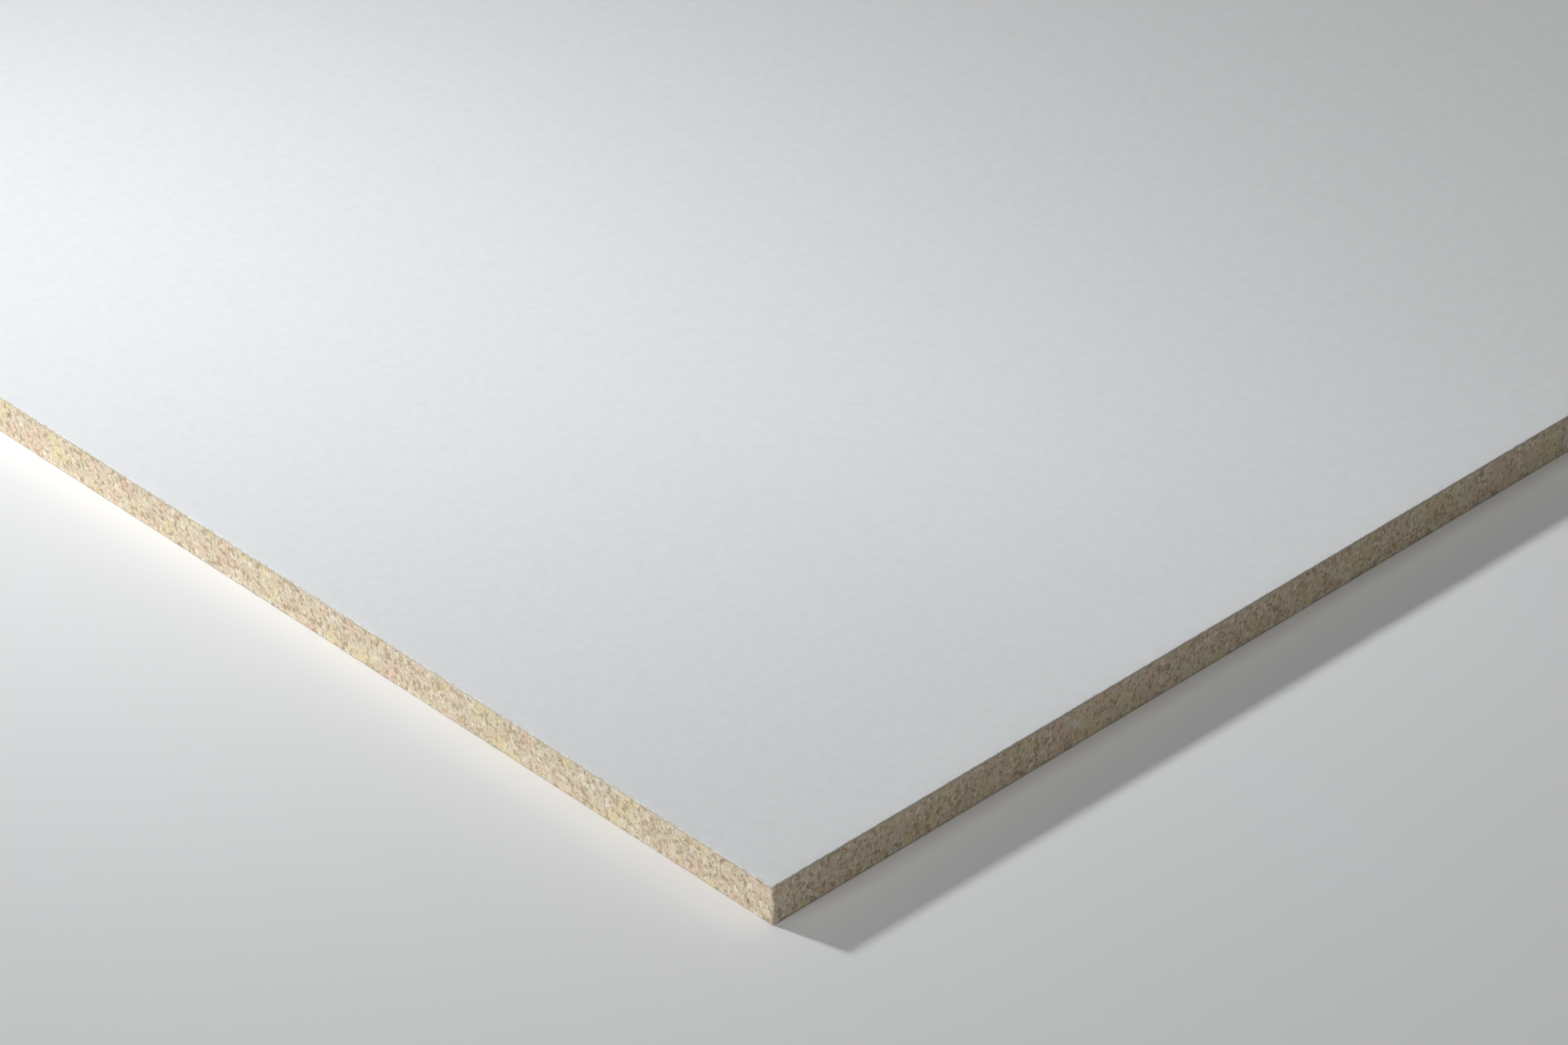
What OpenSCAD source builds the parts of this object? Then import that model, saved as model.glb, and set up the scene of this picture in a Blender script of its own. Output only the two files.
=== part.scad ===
// Lay-in ceiling tile with a square board edge: a pressed mineral-fibre board with a white
// glass-fleece facing bonded over its visible face. It lies with its visible face up.
// Millimetres. The origin is the centre of the back, +Z points out of the visible face.

/* [Grid module] */
// Length of the ceiling grid's module, along X
module_length = 600; // [300:25:1250]
// Width of the ceiling grid's module, along Y
module_width = 600; // [300:25:1250]
// How much smaller than its module the tile is cut, so that it drops in between the tees
grid_allowance = 6; // [3:0.5:10]

/* [Mineral board] */
// Thickness of the pressed board
board_thickness = 14.5; // [12:0.5:24.5]
// Easing of the sawn arris round the board's back
back_arris = 0.4; // [0.2:0.1:0.6]

/* [Face fleece] */
// Thickness of the coated fleece
fleece_thickness = 0.5; // [0.4:0.1:1]
// Easing of the coating's arris round the visible face
face_arris = 0.15; // [0.1:0.05:0.3]

/* [Corners] */
// Radius that sawing and handling leave on the four upright corners
corner_radius = 0.8; // [0.7:0.1:3]

/* [Hidden] */
tile_length = module_length - grid_allowance;
tile_width = module_width - grid_allowance;
$fn = 48;

// One side of a slab's section, from the bottom up: reach is the distance out from the middle,
// low and high are the easings of its two arrises, and 0 leaves an arris sharp.
function edge_points(reach, thickness, low, high) = concat(
    low > 0 ? [[reach - low, 0], [reach, low]] : [[reach, 0]],
    high > 0 ? [[reach, thickness - high], [reach - high, thickness]] : [[reach, thickness]]
);

// Upright section of a slab, cut across its full span.
module slab_section(span, thickness, low, high) {
    side = edge_points(span / 2, thickness, low, high);
    polygon(concat(side, [for (i = [len(side) - 1:-1:0]) [-side[i][0], side[i][1]]]));
}

// A bar of that section, run along X and centred on the origin.
module eased_bar(run, span, thickness, low, high) {
    translate([-run / 2, 0, 0])
        rotate([90, 0, 90])
            linear_extrude(height = run)
                slab_section(span, thickness, low, high);
}

// The turned post that rounds one upright corner and carries the eased arrises round it.
module corner_post(radius, thickness, low, high) {
    rotate_extrude()
        polygon(concat([[0, 0]], edge_points(radius, thickness, low, high), [[0, thickness]]));
}

// A flat slab with rounded upright corners and eased arrises all the way round.
module eased_slab(length, width, thickness, radius, low, high) {
    union() {
        eased_bar(length - 2 * radius, width, thickness, low, high);
        rotate([0, 0, 90])
            eased_bar(width - 2 * radius, length, thickness, low, high);
        for (x = [-1, 1], y = [-1, 1])
            translate([x * (length / 2 - radius), y * (width / 2 - radius), 0])
                corner_post(radius, thickness, low, high);
    }
}

module mineral_board() {
    color([0.85, 0.78, 0.64])
        eased_slab(tile_length, tile_width, board_thickness, corner_radius, back_arris, 0);
}

module face_fleece() {
    color([0.93, 0.94, 0.94])
        translate([0, 0, board_thickness])
            eased_slab(tile_length, tile_width, fleece_thickness, corner_radius, 0, face_arris);
}

mineral_board();
face_fleece();
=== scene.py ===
"""Lay-in ceiling tile, dressed: a pressed mineral-fibre board under a white coated fleece.

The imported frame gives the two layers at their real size, one piece bonded flush on the other.
Here each layer becomes a mesh fine enough to carry its own surface: the granular cut that a saw
leaves in raw mineral fibre, the grains and wool fibres that lie in that cut, the pressed back,
and the faintly stippled coating of the visible face. Every size is in metres.
"""
import logging
import math
from collections.abc import Callable, Iterator
from contextlib import contextmanager
from dataclasses import dataclass
from enum import Enum
from functools import cache

import bmesh
import bpy
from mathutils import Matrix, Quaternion, Vector


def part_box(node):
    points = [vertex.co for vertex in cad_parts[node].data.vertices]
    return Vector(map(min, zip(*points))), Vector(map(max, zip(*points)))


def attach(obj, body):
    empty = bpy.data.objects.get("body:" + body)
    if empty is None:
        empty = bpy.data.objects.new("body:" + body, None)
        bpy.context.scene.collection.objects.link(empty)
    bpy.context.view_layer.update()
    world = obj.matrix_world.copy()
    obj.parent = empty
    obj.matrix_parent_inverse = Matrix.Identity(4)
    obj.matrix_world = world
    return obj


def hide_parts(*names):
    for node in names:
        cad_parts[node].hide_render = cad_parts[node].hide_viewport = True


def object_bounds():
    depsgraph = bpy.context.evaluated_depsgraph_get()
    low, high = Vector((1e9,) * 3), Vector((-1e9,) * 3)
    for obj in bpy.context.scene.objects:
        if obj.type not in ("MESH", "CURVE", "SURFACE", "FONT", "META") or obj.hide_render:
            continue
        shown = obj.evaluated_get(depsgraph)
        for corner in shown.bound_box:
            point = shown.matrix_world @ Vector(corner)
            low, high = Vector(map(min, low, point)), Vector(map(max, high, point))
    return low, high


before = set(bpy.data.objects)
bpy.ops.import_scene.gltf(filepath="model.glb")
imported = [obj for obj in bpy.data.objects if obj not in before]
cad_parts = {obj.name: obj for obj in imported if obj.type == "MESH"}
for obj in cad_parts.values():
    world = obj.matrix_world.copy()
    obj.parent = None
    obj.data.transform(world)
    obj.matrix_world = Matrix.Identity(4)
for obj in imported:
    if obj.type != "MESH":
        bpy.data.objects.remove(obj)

log = logging.getLogger("ceiling_tile")

MM = 0.001
CAD_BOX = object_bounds()
BODY = "root"
BOARD_NODE = "mineral_board"
FLEECE_NODE = "face_fleece"

ORIGIN = (0.0, 0.0, 0.0)
UP = (0.0, 0.0, 1.0)
# The middle value of a noise. A number that is raised by it and cut to a whole one is rounded.
MIDDLE = 0.5
# How many radians a wave texture of scale 1 turns by in a metre.
WAVE_TURN = 20.0

Colour = tuple[float, float, float]
Place = tuple[float, float, float]
Piece = bpy.types.Object
Material = bpy.types.Material
Tree = bpy.types.NodeTree
Node = bpy.types.Node
Socket = bpy.types.NodeSocket
Sockets = bpy.types.bpy_prop_collection
Feed = Socket | Piece | float | tuple[float, ...]


# ---- Modelling by hand: opening a piece, picking its elements, and numbering them ----

class Element(Enum):
    """The kinds of element that can be picked in edit mode."""

    VERT = "VERT"
    EDGE = "EDGE"
    FACE = "FACE"


class Zone(Enum):
    """The vertex groups that a slab's relief is carved in."""

    SAWN_SIDES = "sawn_sides"
    LOW_ARRIS = "low_arris"
    HIGH_ARRIS = "high_arris"
    UPPER_FACE = "upper_face"
    LOWER_FACE = "lower_face"


class Grain(Enum):
    """The kinds of procedural texture that shape a relief."""

    CLOUDS = "CLOUDS"
    CELLS = "VORONOI"


@contextmanager
def editing(piece: Piece) -> Iterator[None]:
    """Opens a piece in edit mode, and closes it again.

    Args:
        piece: the mesh object to open.
    """
    bpy.context.view_layer.objects.active = piece
    bpy.ops.object.mode_set(mode="EDIT")
    yield
    bpy.ops.object.mode_set(mode="OBJECT")


def pick(piece: Piece, element: Element, test: Callable[..., bool]) -> None:
    """Selects the elements that pass a test, and nothing else.

    Args:
        piece: the mesh object, open in edit mode.
        element: the kind of element to go through.
        test: says of one element whether it is wanted.
    """
    bpy.ops.mesh.select_mode(type=element.value)
    bpy.ops.mesh.select_all(action="DESELECT")
    mesh = bmesh.from_edit_mesh(piece.data)
    mesh.normal_update()
    parts = {Element.VERT: mesh.verts, Element.EDGE: mesh.edges, Element.FACE: mesh.faces}
    for part in parts[element]:
        if test(part):
            part.select_set(True)
    mesh.select_flush_mode()
    bmesh.update_edit_mesh(piece.data)


def start_piece(name: str) -> Piece:
    """Names the primitive that was just added, and puts its place into its mesh.

    Args:
        name: the piece's name.

    Returns:
        The new piece.
    """
    piece = bpy.context.object
    piece.name = name
    piece.data.name = name
    bpy.ops.object.transform_apply(location=True, rotation=True, scale=True)
    return piece


def choose(piece: Piece) -> None:
    """Makes a piece the active one, and the only one that is selected.

    Args:
        piece: the piece.
    """
    bpy.ops.object.select_all(action="DESELECT")
    piece.select_set(True)
    bpy.context.view_layer.objects.active = piece


def apply_modifier(piece: Piece, modifier: bpy.types.Modifier) -> None:
    """Applies a modifier to the piece that carries it."""
    choose(piece)
    bpy.ops.object.modifier_apply(modifier=modifier.name)


def smooth(piece: Piece, crease: float) -> None:
    """Shades a piece smoothly, but for the arrises that turn by more than a crease in degrees."""
    choose(piece)
    bpy.ops.object.shade_smooth_by_angle(angle=math.radians(crease))


def settle_order(piece: Piece) -> None:
    """Numbers a mesh by place, because the operators number it in another order each time.

    Args:
        piece: the mesh object, whose random details follow that order.
    """
    mesh = piece.data
    places = [tuple(vert.co) for vert in mesh.vertices]
    order = sorted(range(len(places)), key=places.__getitem__)
    rank = {old: new for new, old in enumerate(order)}
    faces = []
    for face in mesh.polygons:
        corners = [rank[index] for index in face.vertices]
        first = corners.index(min(corners))
        faces.append(corners[first:] + corners[:first])
    mesh.clear_geometry()
    mesh.from_pydata([places[index] for index in order], [], sorted(faces))


def triangle_count(piece: Piece) -> int:
    """Returns how many triangles a piece's faces make."""
    return sum(len(face.vertices) - 2 for face in piece.data.polygons)


# ---- The slab that both layers are cut from ----

@dataclass
class SawnSlab:
    """A flat layer with square-sawn sides, meshed finely enough to carry relief.

    Attributes:
        name: the finished piece's name.
        low: the layer's lowest corner.
        high: the layer's highest corner.
        corner_radius: radius of the four upright corners.
        low_arris: easing of the arris round the lower face.
        high_arris: easing of the arris round the upper face.
        rows: rows of cells up each sawn side, between the arrises.
        low_cells: cells across the lower face.
        high_cells: cells across the upper face.
        corner_segments: facets round each upright corner.
        side_passes: how many times each side is divided along.
        side_cuts: cuts in each of those passes.
        rim: width of the ring inside an arris, which keeps its raggedness off the face.
        border: width of the ring between the rim and the face's cells.
        joint_gap: width of the seam that joins the ring to the cells.
        tolerance: how near to a level or an outline an element counts as lying on it.
        level_normal: upright part of a normal, past which its face counts as level.
    """

    name: str
    low: Vector
    high: Vector
    corner_radius: float
    low_arris: float
    high_arris: float
    rows: int
    low_cells: int
    high_cells: int
    corner_segments: int = 3
    side_passes: int = 2
    side_cuts: int = 27
    rim: float = 0.6 * MM
    border: float = 4.0 * MM
    joint_gap: float = 2.5 * MM
    tolerance: float = 0.01 * MM
    level_normal: float = 0.5

    @property
    def centre(self) -> Vector:
        """Returns the middle of the layer."""
        return (self.low + self.high) / 2

    @property
    def reach(self) -> Vector:
        """Returns half of the layer's size along each axis."""
        return (self.high - self.low) / 2

    def build(self) -> Piece:
        """Models the slab from a cube.

        Returns:
            The closed piece, with one vertex group for each zone.
        """
        bpy.ops.object.select_all(action="DESELECT")
        bpy.ops.mesh.primitive_cube_add(size=1.0, location=self.centre, scale=self.high - self.low)
        piece = start_piece(self.name)
        with editing(piece):
            self._round_corners(piece)
            self._divide_sides(piece)
            self._close(piece, self.low.z, self.low_arris, self.low_cells, upward=False)
            self._close(piece, self.high.z, self.high_arris, self.high_cells, upward=True)
            bpy.ops.mesh.select_all(action="SELECT")
            bpy.ops.mesh.normals_make_consistent(inside=False)
        settle_order(piece)
        self._mark_zones(piece)
        return piece

    def _is_upright(self, edge: bmesh.types.BMEdge) -> bool:
        """Returns whether an edge runs up the side."""
        return abs(edge.verts[0].co.z - edge.verts[1].co.z) > self.tolerance

    def _is_long(self, edge: bmesh.types.BMEdge) -> bool:
        """Returns whether an edge runs along a side and is still to be divided."""
        return not self._is_upright(edge) and edge.calc_length() > self.border

    def _round_corners(self, piece: Piece) -> None:
        """Rounds the four upright corners, and opens the top and the bottom.

        Args:
            piece: the cube, open in edit mode.
        """
        pick(piece, Element.EDGE, self._is_upright)
        bpy.ops.mesh.bevel(
            offset=self.corner_radius, segments=self.corner_segments, affect="EDGES"
        )
        pick(piece, Element.FACE, lambda face: abs(face.normal.z) > self.level_normal)
        bpy.ops.mesh.delete(type="ONLY_FACE")

    def _divide_sides(self, piece: Piece) -> None:
        """Divides the four sides into small cells, first along them and then up.

        Args:
            piece: the open band of sides, in edit mode.
        """
        for _ in range(self.side_passes):
            pick(piece, Element.EDGE, self._is_long)
            bpy.ops.mesh.subdivide(number_cuts=self.side_cuts)
        if self.rows > 1:
            pick(piece, Element.EDGE, self._is_upright)
            bpy.ops.mesh.subdivide(number_cuts=self.rows - 1)

    def _draw_in(self, start: Vector, inset: float, rise: float) -> Vector:
        """Extrudes the selected loop, and scales it about the slab's axis.

        Args:
            start: half sizes of the loop as it is.
            inset: how far the new loop lies inside the old one.
            rise: how far the new loop lies above the old one.

        Returns:
            Half sizes of the new loop.
        """
        end = Vector((start.x - inset, start.y - inset, start.z))
        bpy.ops.mesh.extrude_edges_move(TRANSFORM_OT_translate={"value": (0.0, 0.0, rise)})
        bpy.ops.transform.resize(
            value=(end.x / start.x, end.y / start.y, 1.0), center_override=self.centre
        )
        return end

    def _close(
        self, piece: Piece, level: float, arris: float, cells: int, upward: bool
    ) -> None:
        """Closes the slab's top or bottom: an eased arris, a rim, a border and a grid of cells.

        Args:
            piece: the slab, open in edit mode.
            level: height of the face to close.
            arris: easing of its arris.
            cells: cells across the face.
            upward: whether it is the upper face.
        """
        outward = 1.0 if upward else -1.0
        middle = (self.centre.x, self.centre.y, level)

        def on_level(edge: bmesh.types.BMEdge) -> bool:
            """Returns whether an edge is open and lies on the face's level."""
            heights = [abs(vert.co.z - level) for vert in edge.verts]
            return edge.is_boundary and max(heights) < self.tolerance

        pick(piece, Element.EDGE, on_level)
        bpy.ops.transform.translate(value=(0.0, 0.0, -outward * arris))
        reach = self._draw_in(self.reach, arris, outward * arris)
        reach = self._draw_in(reach, self.rim, 0.0)
        reach = self._draw_in(reach, self.border, 0.0)
        inner = Vector((reach.x - self.joint_gap, reach.y - self.joint_gap, 1.0))
        bpy.ops.mesh.primitive_grid_add(
            x_subdivisions=cells, y_subdivisions=cells, size=2.0, location=middle
        )
        bpy.ops.transform.resize(value=inner, center_override=middle)
        if not upward:
            bpy.ops.mesh.flip_normals()
        pick(piece, Element.EDGE, on_level)
        bpy.ops.mesh.bridge_edge_loops()

    def _mark_zones(self, piece: Piece) -> None:
        """Makes one vertex group for each zone of the slab's surface.

        Args:
            piece: the closed slab.
        """
        inside = self.reach - Vector((self.tolerance,) * 3)
        members: dict[Zone, list[int]] = {zone: [] for zone in Zone}
        for vert in piece.data.vertices:
            place = vert.co - self.centre
            outline = max(abs(place.x) - inside.x, abs(place.y) - inside.y)
            at_low = vert.co.z < self.low.z + self.low_arris + self.tolerance
            at_high = vert.co.z > self.high.z - self.high_arris - self.tolerance
            if at_low and outline > -self.low_arris - self.tolerance:
                zone = Zone.LOW_ARRIS
            elif at_high and outline > -self.high_arris - self.tolerance:
                zone = Zone.HIGH_ARRIS
            elif at_low:
                zone = Zone.LOWER_FACE
            elif at_high:
                zone = Zone.UPPER_FACE
            else:
                zone = Zone.SAWN_SIDES
            members[zone].append(vert.index)
        for zone, indices in members.items():
            piece.vertex_groups.new(name=zone.value).add(indices, 1.0, "REPLACE")


@dataclass(frozen=True)
class Relief:
    """A procedural relief that is carved into one zone of a piece, never built up on it.

    Attributes:
        zone: where it is carved.
        grain: the kind of texture.
        size: size of the texture's grains.
        depth: greatest depth of the carving.
        contrast: 1 leaves the texture as it is, and more sharpens it.
        direction: NORMAL, or X, Y or Z to carve along one axis.
    """

    zone: Zone
    grain: Grain
    size: float
    depth: float
    contrast: float = 1.0
    direction: str = "NORMAL"

    def carve(self, piece: Piece) -> None:
        """Carves the relief and applies it.

        Args:
            piece: the piece to carve.
        """
        texture = bpy.data.textures.new(self.zone.value, type=self.grain.value)
        texture.noise_scale = self.size
        texture.contrast = self.contrast
        carving = piece.modifiers.new(self.zone.value, "DISPLACE")
        carving.texture = texture
        carving.texture_coords = "LOCAL"
        carving.direction = self.direction
        carving.vertex_group = self.zone.value
        carving.mid_level = 1.0
        carving.strength = self.depth
        apply_modifier(piece, carving)
        bpy.data.textures.remove(texture)


# ---- Wiring of node trees, and the effects that the materials share ----

def opaque(colour: Colour) -> tuple[float, float, float, float]:
    """Returns a colour with full alpha."""
    return (*colour, 1.0)


class Wiring:
    """A node tree that is being wired: a material's, the world's or a group's."""

    def __init__(self, tree: Tree) -> None:
        """Takes hold of a tree."""
        self.tree = tree

    @property
    def given(self) -> Sockets:
        """Returns what a group is given, as sockets that can be read."""
        return self.tree.nodes["given"].outputs

    @property
    def made(self) -> Sockets:
        """Returns what a group makes, as sockets that can be fed."""
        return self.tree.nodes["made"].inputs

    def node(
        self, kind: str, feeds: dict[str | int, Feed] | None = None, **settings: object
    ) -> Node:
        """Adds a node.

        Args:
            kind: the node's type.
            feeds: what its inputs are fed, by their names or numbers.
            settings: its properties.

        Returns:
            The node.
        """
        node = self.tree.nodes.new(kind)
        for name, value in settings.items():
            setattr(node, name, value)
        for key, source in (feeds or {}).items():
            self.feed(node.inputs[key], source)
        return node

    def feed(self, target: Socket, source: Feed) -> None:
        """Sets a socket to a value, or links it to another socket.

        Args:
            target: the socket that is fed.
            source: a value or an output socket.
        """
        if isinstance(source, bpy.types.NodeSocket):
            self.tree.links.new(source, target)
        else:
            target.default_value = source

    def calc(self, operation: str, first: Feed, second: Feed = 0.0, clamp: bool = False) -> Socket:
        """Returns the result of a Math node, held between 0 and 1 if it is clamped."""
        feeds = {0: first, 1: second}
        return self.node("ShaderNodeMath", feeds, operation=operation, use_clamp=clamp).outputs[0]

    def vector(self, operation: str, first: Feed, second: Feed = ORIGIN) -> Socket:
        """Returns the result of a Vector Math node on two vectors."""
        feeds = {0: first, 1: second}
        return self.node("ShaderNodeVectorMath", feeds, operation=operation).outputs["Vector"]

    def scaled(self, vector: Feed, factor: Feed) -> Socket:
        """Returns a vector times a factor."""
        feeds = {0: vector, "Scale": factor}
        return self.node("ShaderNodeVectorMath", feeds, operation="SCALE").outputs["Vector"]

    def axes(self, vector: Feed) -> Sockets:
        """Returns a vector's X, Y and Z."""
        return self.node("ShaderNodeSeparateXYZ", {"Vector": vector}).outputs

    def place(self) -> Socket:
        """Returns the place on the piece that a material covers, in the piece's own space."""
        return self.node("ShaderNodeTexCoord").outputs["Object"]

    def noise(self, place: Feed, scale: Feed, detail: float) -> Sockets:
        """Returns a noise with so many features in a metre, and so many finer layers."""
        feeds = {"Vector": place, "Scale": scale, "Detail": detail}
        return self.node("ShaderNodeTexNoise", feeds, noise_dimensions="3D").outputs

    def span(
        self, value: Feed, start: Feed, end: Feed, low: Feed = 0.0, high: Feed = 1.0
    ) -> Socket:
        """Maps a range of values smoothly onto another.

        Args:
            value: the value to map.
            start: where the range starts.
            end: where the range ends.
            low: what the start becomes.
            high: what the end becomes.

        Returns:
            The mapped value.
        """
        feeds = {"Value": value, "From Min": start, "From Max": end, "To Min": low, "To Max": high}
        node = self.node("ShaderNodeMapRange", feeds, interpolation_type="SMOOTHSTEP")
        return node.outputs["Result"]

    def blend(self, factor: Feed, first: Feed, second: Feed) -> Socket:
        """Mixes two colours.

        Args:
            factor: 0 for the first colour, 1 for the second.
            first: a colour.
            second: a colour.

        Returns:
            The mixed colour.
        """
        node = self.node("ShaderNodeMix", data_type="RGBA", blend_type="MIX")
        colours = [socket for socket in node.inputs if socket.type == "RGBA"]
        self.feed(node.inputs["Factor"], factor)
        for socket, source in zip(colours, (first, second)):
            self.feed(socket, source)
        return next(socket for socket in node.outputs if socket.type == "RGBA")

    def tint(self, colour: Feed, mask: Feed, strength: float, hue: Colour) -> Socket:
        """Returns a colour that leans to a hue where a mask says, by its strength at most."""
        return self.blend(self.calc("MULTIPLY", mask, strength), colour, opaque(hue))

    def group(self, tree: Tree, **inputs: Feed) -> Sockets:
        """Returns what a shared effect makes of its inputs, named with _ for their spaces."""
        feeds = {name.replace("_", " ").title(): source for name, source in inputs.items()}
        return self.node("ShaderNodeGroup", feeds, node_tree=tree).outputs

    def seen_directly(self) -> Socket:
        """Adds the mask of the rays that show a backdrop: from the camera, in gloss or glass.

        Returns:
            1 for such a ray, and 0 for one that only lights.
        """
        path = self.node("ShaderNodeLightPath").outputs
        mirrored = self.calc("MAXIMUM", path["Is Glossy Ray"], path["Is Transmission Ray"])
        return self.calc("MAXIMUM", path["Is Camera Ray"], mirrored)

    def cover(self, mask: Feed, first: Socket, second: Socket) -> None:
        """Makes the tree's surface a mix of two shaders.

        Args:
            mask: 0 for the first shader, 1 for the second.
            first: a shader.
            second: a shader.
        """
        mixed = self.node("ShaderNodeMixShader", {"Fac": mask, 1: first, 2: second})
        output = next(node for node in self.tree.nodes if node.type.startswith("OUTPUT"))
        self.feed(output.inputs["Surface"], mixed.outputs["Shader"])


def new_group(name: str, kind: str, inputs: dict[str, str], outputs: dict[str, str]) -> Wiring:
    """Starts a node group.

    Args:
        name: the group's name.
        kind: the type of its tree.
        inputs: the type of each input socket, by name.
        outputs: the type of each output socket, by name.

    Returns:
        The group's wiring, holding its input and output nodes.
    """
    tree = bpy.data.node_groups.new(name, kind)
    for way, sockets in (("INPUT", inputs), ("OUTPUT", outputs)):
        for socket, data in sockets.items():
            tree.interface.new_socket(socket, in_out=way, socket_type=f"NodeSocket{data}")
    wiring = Wiring(tree)
    wiring.node("NodeGroupInput", name="given")
    wiring.node("NodeGroupOutput", name="made")
    return wiring


@dataclass(frozen=True)
class CrumbEffect:
    """The crumbly grain of pressed mineral fibre. Its group is given a place and a grain size.

    It makes the tone of each grain, the masks of the pale grains and of the pores between them,
    and the height of the surface.

    Attributes:
        warp_pitch: waves of the warp in the length of a grain.
        warp_reach: how far the warp moves a grain's outline, in grains.
        dome_rim: how far from a grain's middle its dome ends, in grains.
        dome_top: how far from there the dome is full.
        grain_swing: how much the tone changes from grain to grain.
        fine_pitch: waves of the finest grain in the length of a grain.
        fine_swing: how much the tone changes with it.
        pale_fade: how softly the pale grains are told from the others.
        pore_pitch: pores in the length of a grain.
        pore_floor: value of the pores' noise below which a pore is full, were their share 0.
        pore_reach: how far a full share of pores raises that value.
        pore_slope: how softly a pore's brim falls.
        height_share: what the finest grain, the domes and the pores each add to the height.
    """

    warp_pitch: float = 1.7
    warp_reach: float = 0.9
    dome_rim: float = 0.75
    dome_top: float = 0.2
    grain_swing: float = 1.3
    fine_pitch: float = 2.0
    fine_swing: float = 2.0
    pale_fade: float = 0.12
    pore_pitch: float = 1.25
    pore_floor: float = 0.24
    pore_reach: float = 0.5
    pore_slope: float = 0.15
    height_share: float = 0.5

    def build(self) -> Tree:
        """Builds the effect.

        Returns:
            Its node group.
        """
        shares = {"Pale Share": "Float", "Pore Share": "Float"}
        wiring = new_group(
            "crumb",
            "ShaderNodeTree",
            {"Place": "Vector", "Grain Size": "Float", **shares},
            {"Tone": "Float", "Pale": "Float", "Pores": "Float", "Height": "Float"},
        )
        calc = wiring.calc
        given, made = wiring.given, wiring.made
        scale = calc("DIVIDE", 1.0, given["Grain Size"])
        warp = wiring.noise(given["Place"], calc("MULTIPLY", scale, self.warp_pitch), detail=3.0)
        offset = wiring.vector("SUBTRACT", warp["Color"], (MIDDLE,) * 3)
        swing = wiring.scaled(offset, calc("MULTIPLY", given["Grain Size"], self.warp_reach))
        place = wiring.vector("ADD", given["Place"], swing)
        feeds = {"Vector": place, "Scale": scale}
        cells = wiring.node("ShaderNodeTexVoronoi", feeds, feature="F1").outputs
        lots = wiring.node("ShaderNodeSeparateColor", {"Color": cells["Color"]}).outputs
        dome = wiring.span(cells["Distance"], self.dome_rim, self.dome_top)
        fine = wiring.noise(given["Place"], calc("MULTIPLY", scale, self.fine_pitch), detail=4.0)
        drawn = calc("MULTIPLY", calc("SUBTRACT", lots["Red"], MIDDLE), dome)
        drawn = calc("MULTIPLY", drawn, self.grain_swing)
        rough = calc("MULTIPLY", calc("SUBTRACT", fine["Fac"], MIDDLE), self.fine_swing)
        wiring.feed(made["Tone"], calc("ADD", calc("ADD", drawn, rough), MIDDLE, clamp=True))
        threshold = calc("SUBTRACT", 1.0, given["Pale Share"])
        faded = calc("SUBTRACT", threshold, self.pale_fade)
        is_pale = wiring.span(lots["Green"], faded, threshold)
        wiring.feed(made["Pale"], calc("MULTIPLY", is_pale, dome))
        holes = wiring.noise(place, calc("MULTIPLY", scale, self.pore_pitch), detail=2.0)["Fac"]
        brim = calc("ADD", calc("MULTIPLY", given["Pore Share"], self.pore_reach), self.pore_floor)
        pores = wiring.span(holes, calc("ADD", brim, self.pore_slope), brim)
        wiring.feed(made["Pores"], pores)
        parts = [calc("MULTIPLY", part, self.height_share) for part in (fine["Fac"], dome, pores)]
        swell = calc("ADD", parts[0], parts[1])
        wiring.feed(made["Height"], calc("SUBTRACT", swell, parts[2]))
        return wiring.tree


@cache
def crumb_effect() -> Tree:
    """Returns the group of the crumbly grain, built once."""
    return CrumbEffect().build()


@cache
def mottle_effect() -> Tree:
    """Builds a slow change of tone over a surface, once.

    Returns:
        A group that turns a place and a patch size into a value round 0.5.
    """
    inputs = {"Place": "Vector", "Patch Size": "Float"}
    wiring = new_group("mottle", "ShaderNodeTree", inputs, {"Tone": "Float"})
    scale = wiring.calc("DIVIDE", 1.0, wiring.given["Patch Size"])
    cloud = wiring.noise(wiring.given["Place"], scale, detail=3.0)
    wiring.feed(wiring.made["Tone"], cloud["Fac"])
    return wiring.tree


@cache
def rim_effect() -> Tree:
    """Builds the mask of a ragged rim along a rectangular outline, once.

    Returns:
        A group that gives 1 at the outline and 0 from the rim's width inwards.
    """
    inputs = {"Place": "Vector", "Half Size": "Vector"}
    sizes = {name: "Float" for name in ("Width", "Raggedness", "Nick Size")}
    wiring = new_group("rim", "ShaderNodeTree", {**inputs, **sizes}, {"Mask": "Float"})
    calc = wiring.calc
    given = wiring.given
    folded = wiring.vector("ABSOLUTE", given["Place"])
    beyond = wiring.axes(wiring.vector("SUBTRACT", folded, given["Half Size"]))
    nearest = calc("MAXIMUM", beyond["X"], beyond["Y"])
    nicks = wiring.noise(given["Place"], calc("DIVIDE", 1.0, given["Nick Size"]), detail=3.0)
    ragged = calc("MULTIPLY", calc("SUBTRACT", nicks["Fac"], MIDDLE), given["Raggedness"])
    inward = calc("MULTIPLY", calc("ADD", nearest, ragged), -1.0)
    wiring.feed(wiring.made["Mask"], wiring.span(inward, given["Width"], 0.0))
    return wiring.tree


# ---- Finishes ----

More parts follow.
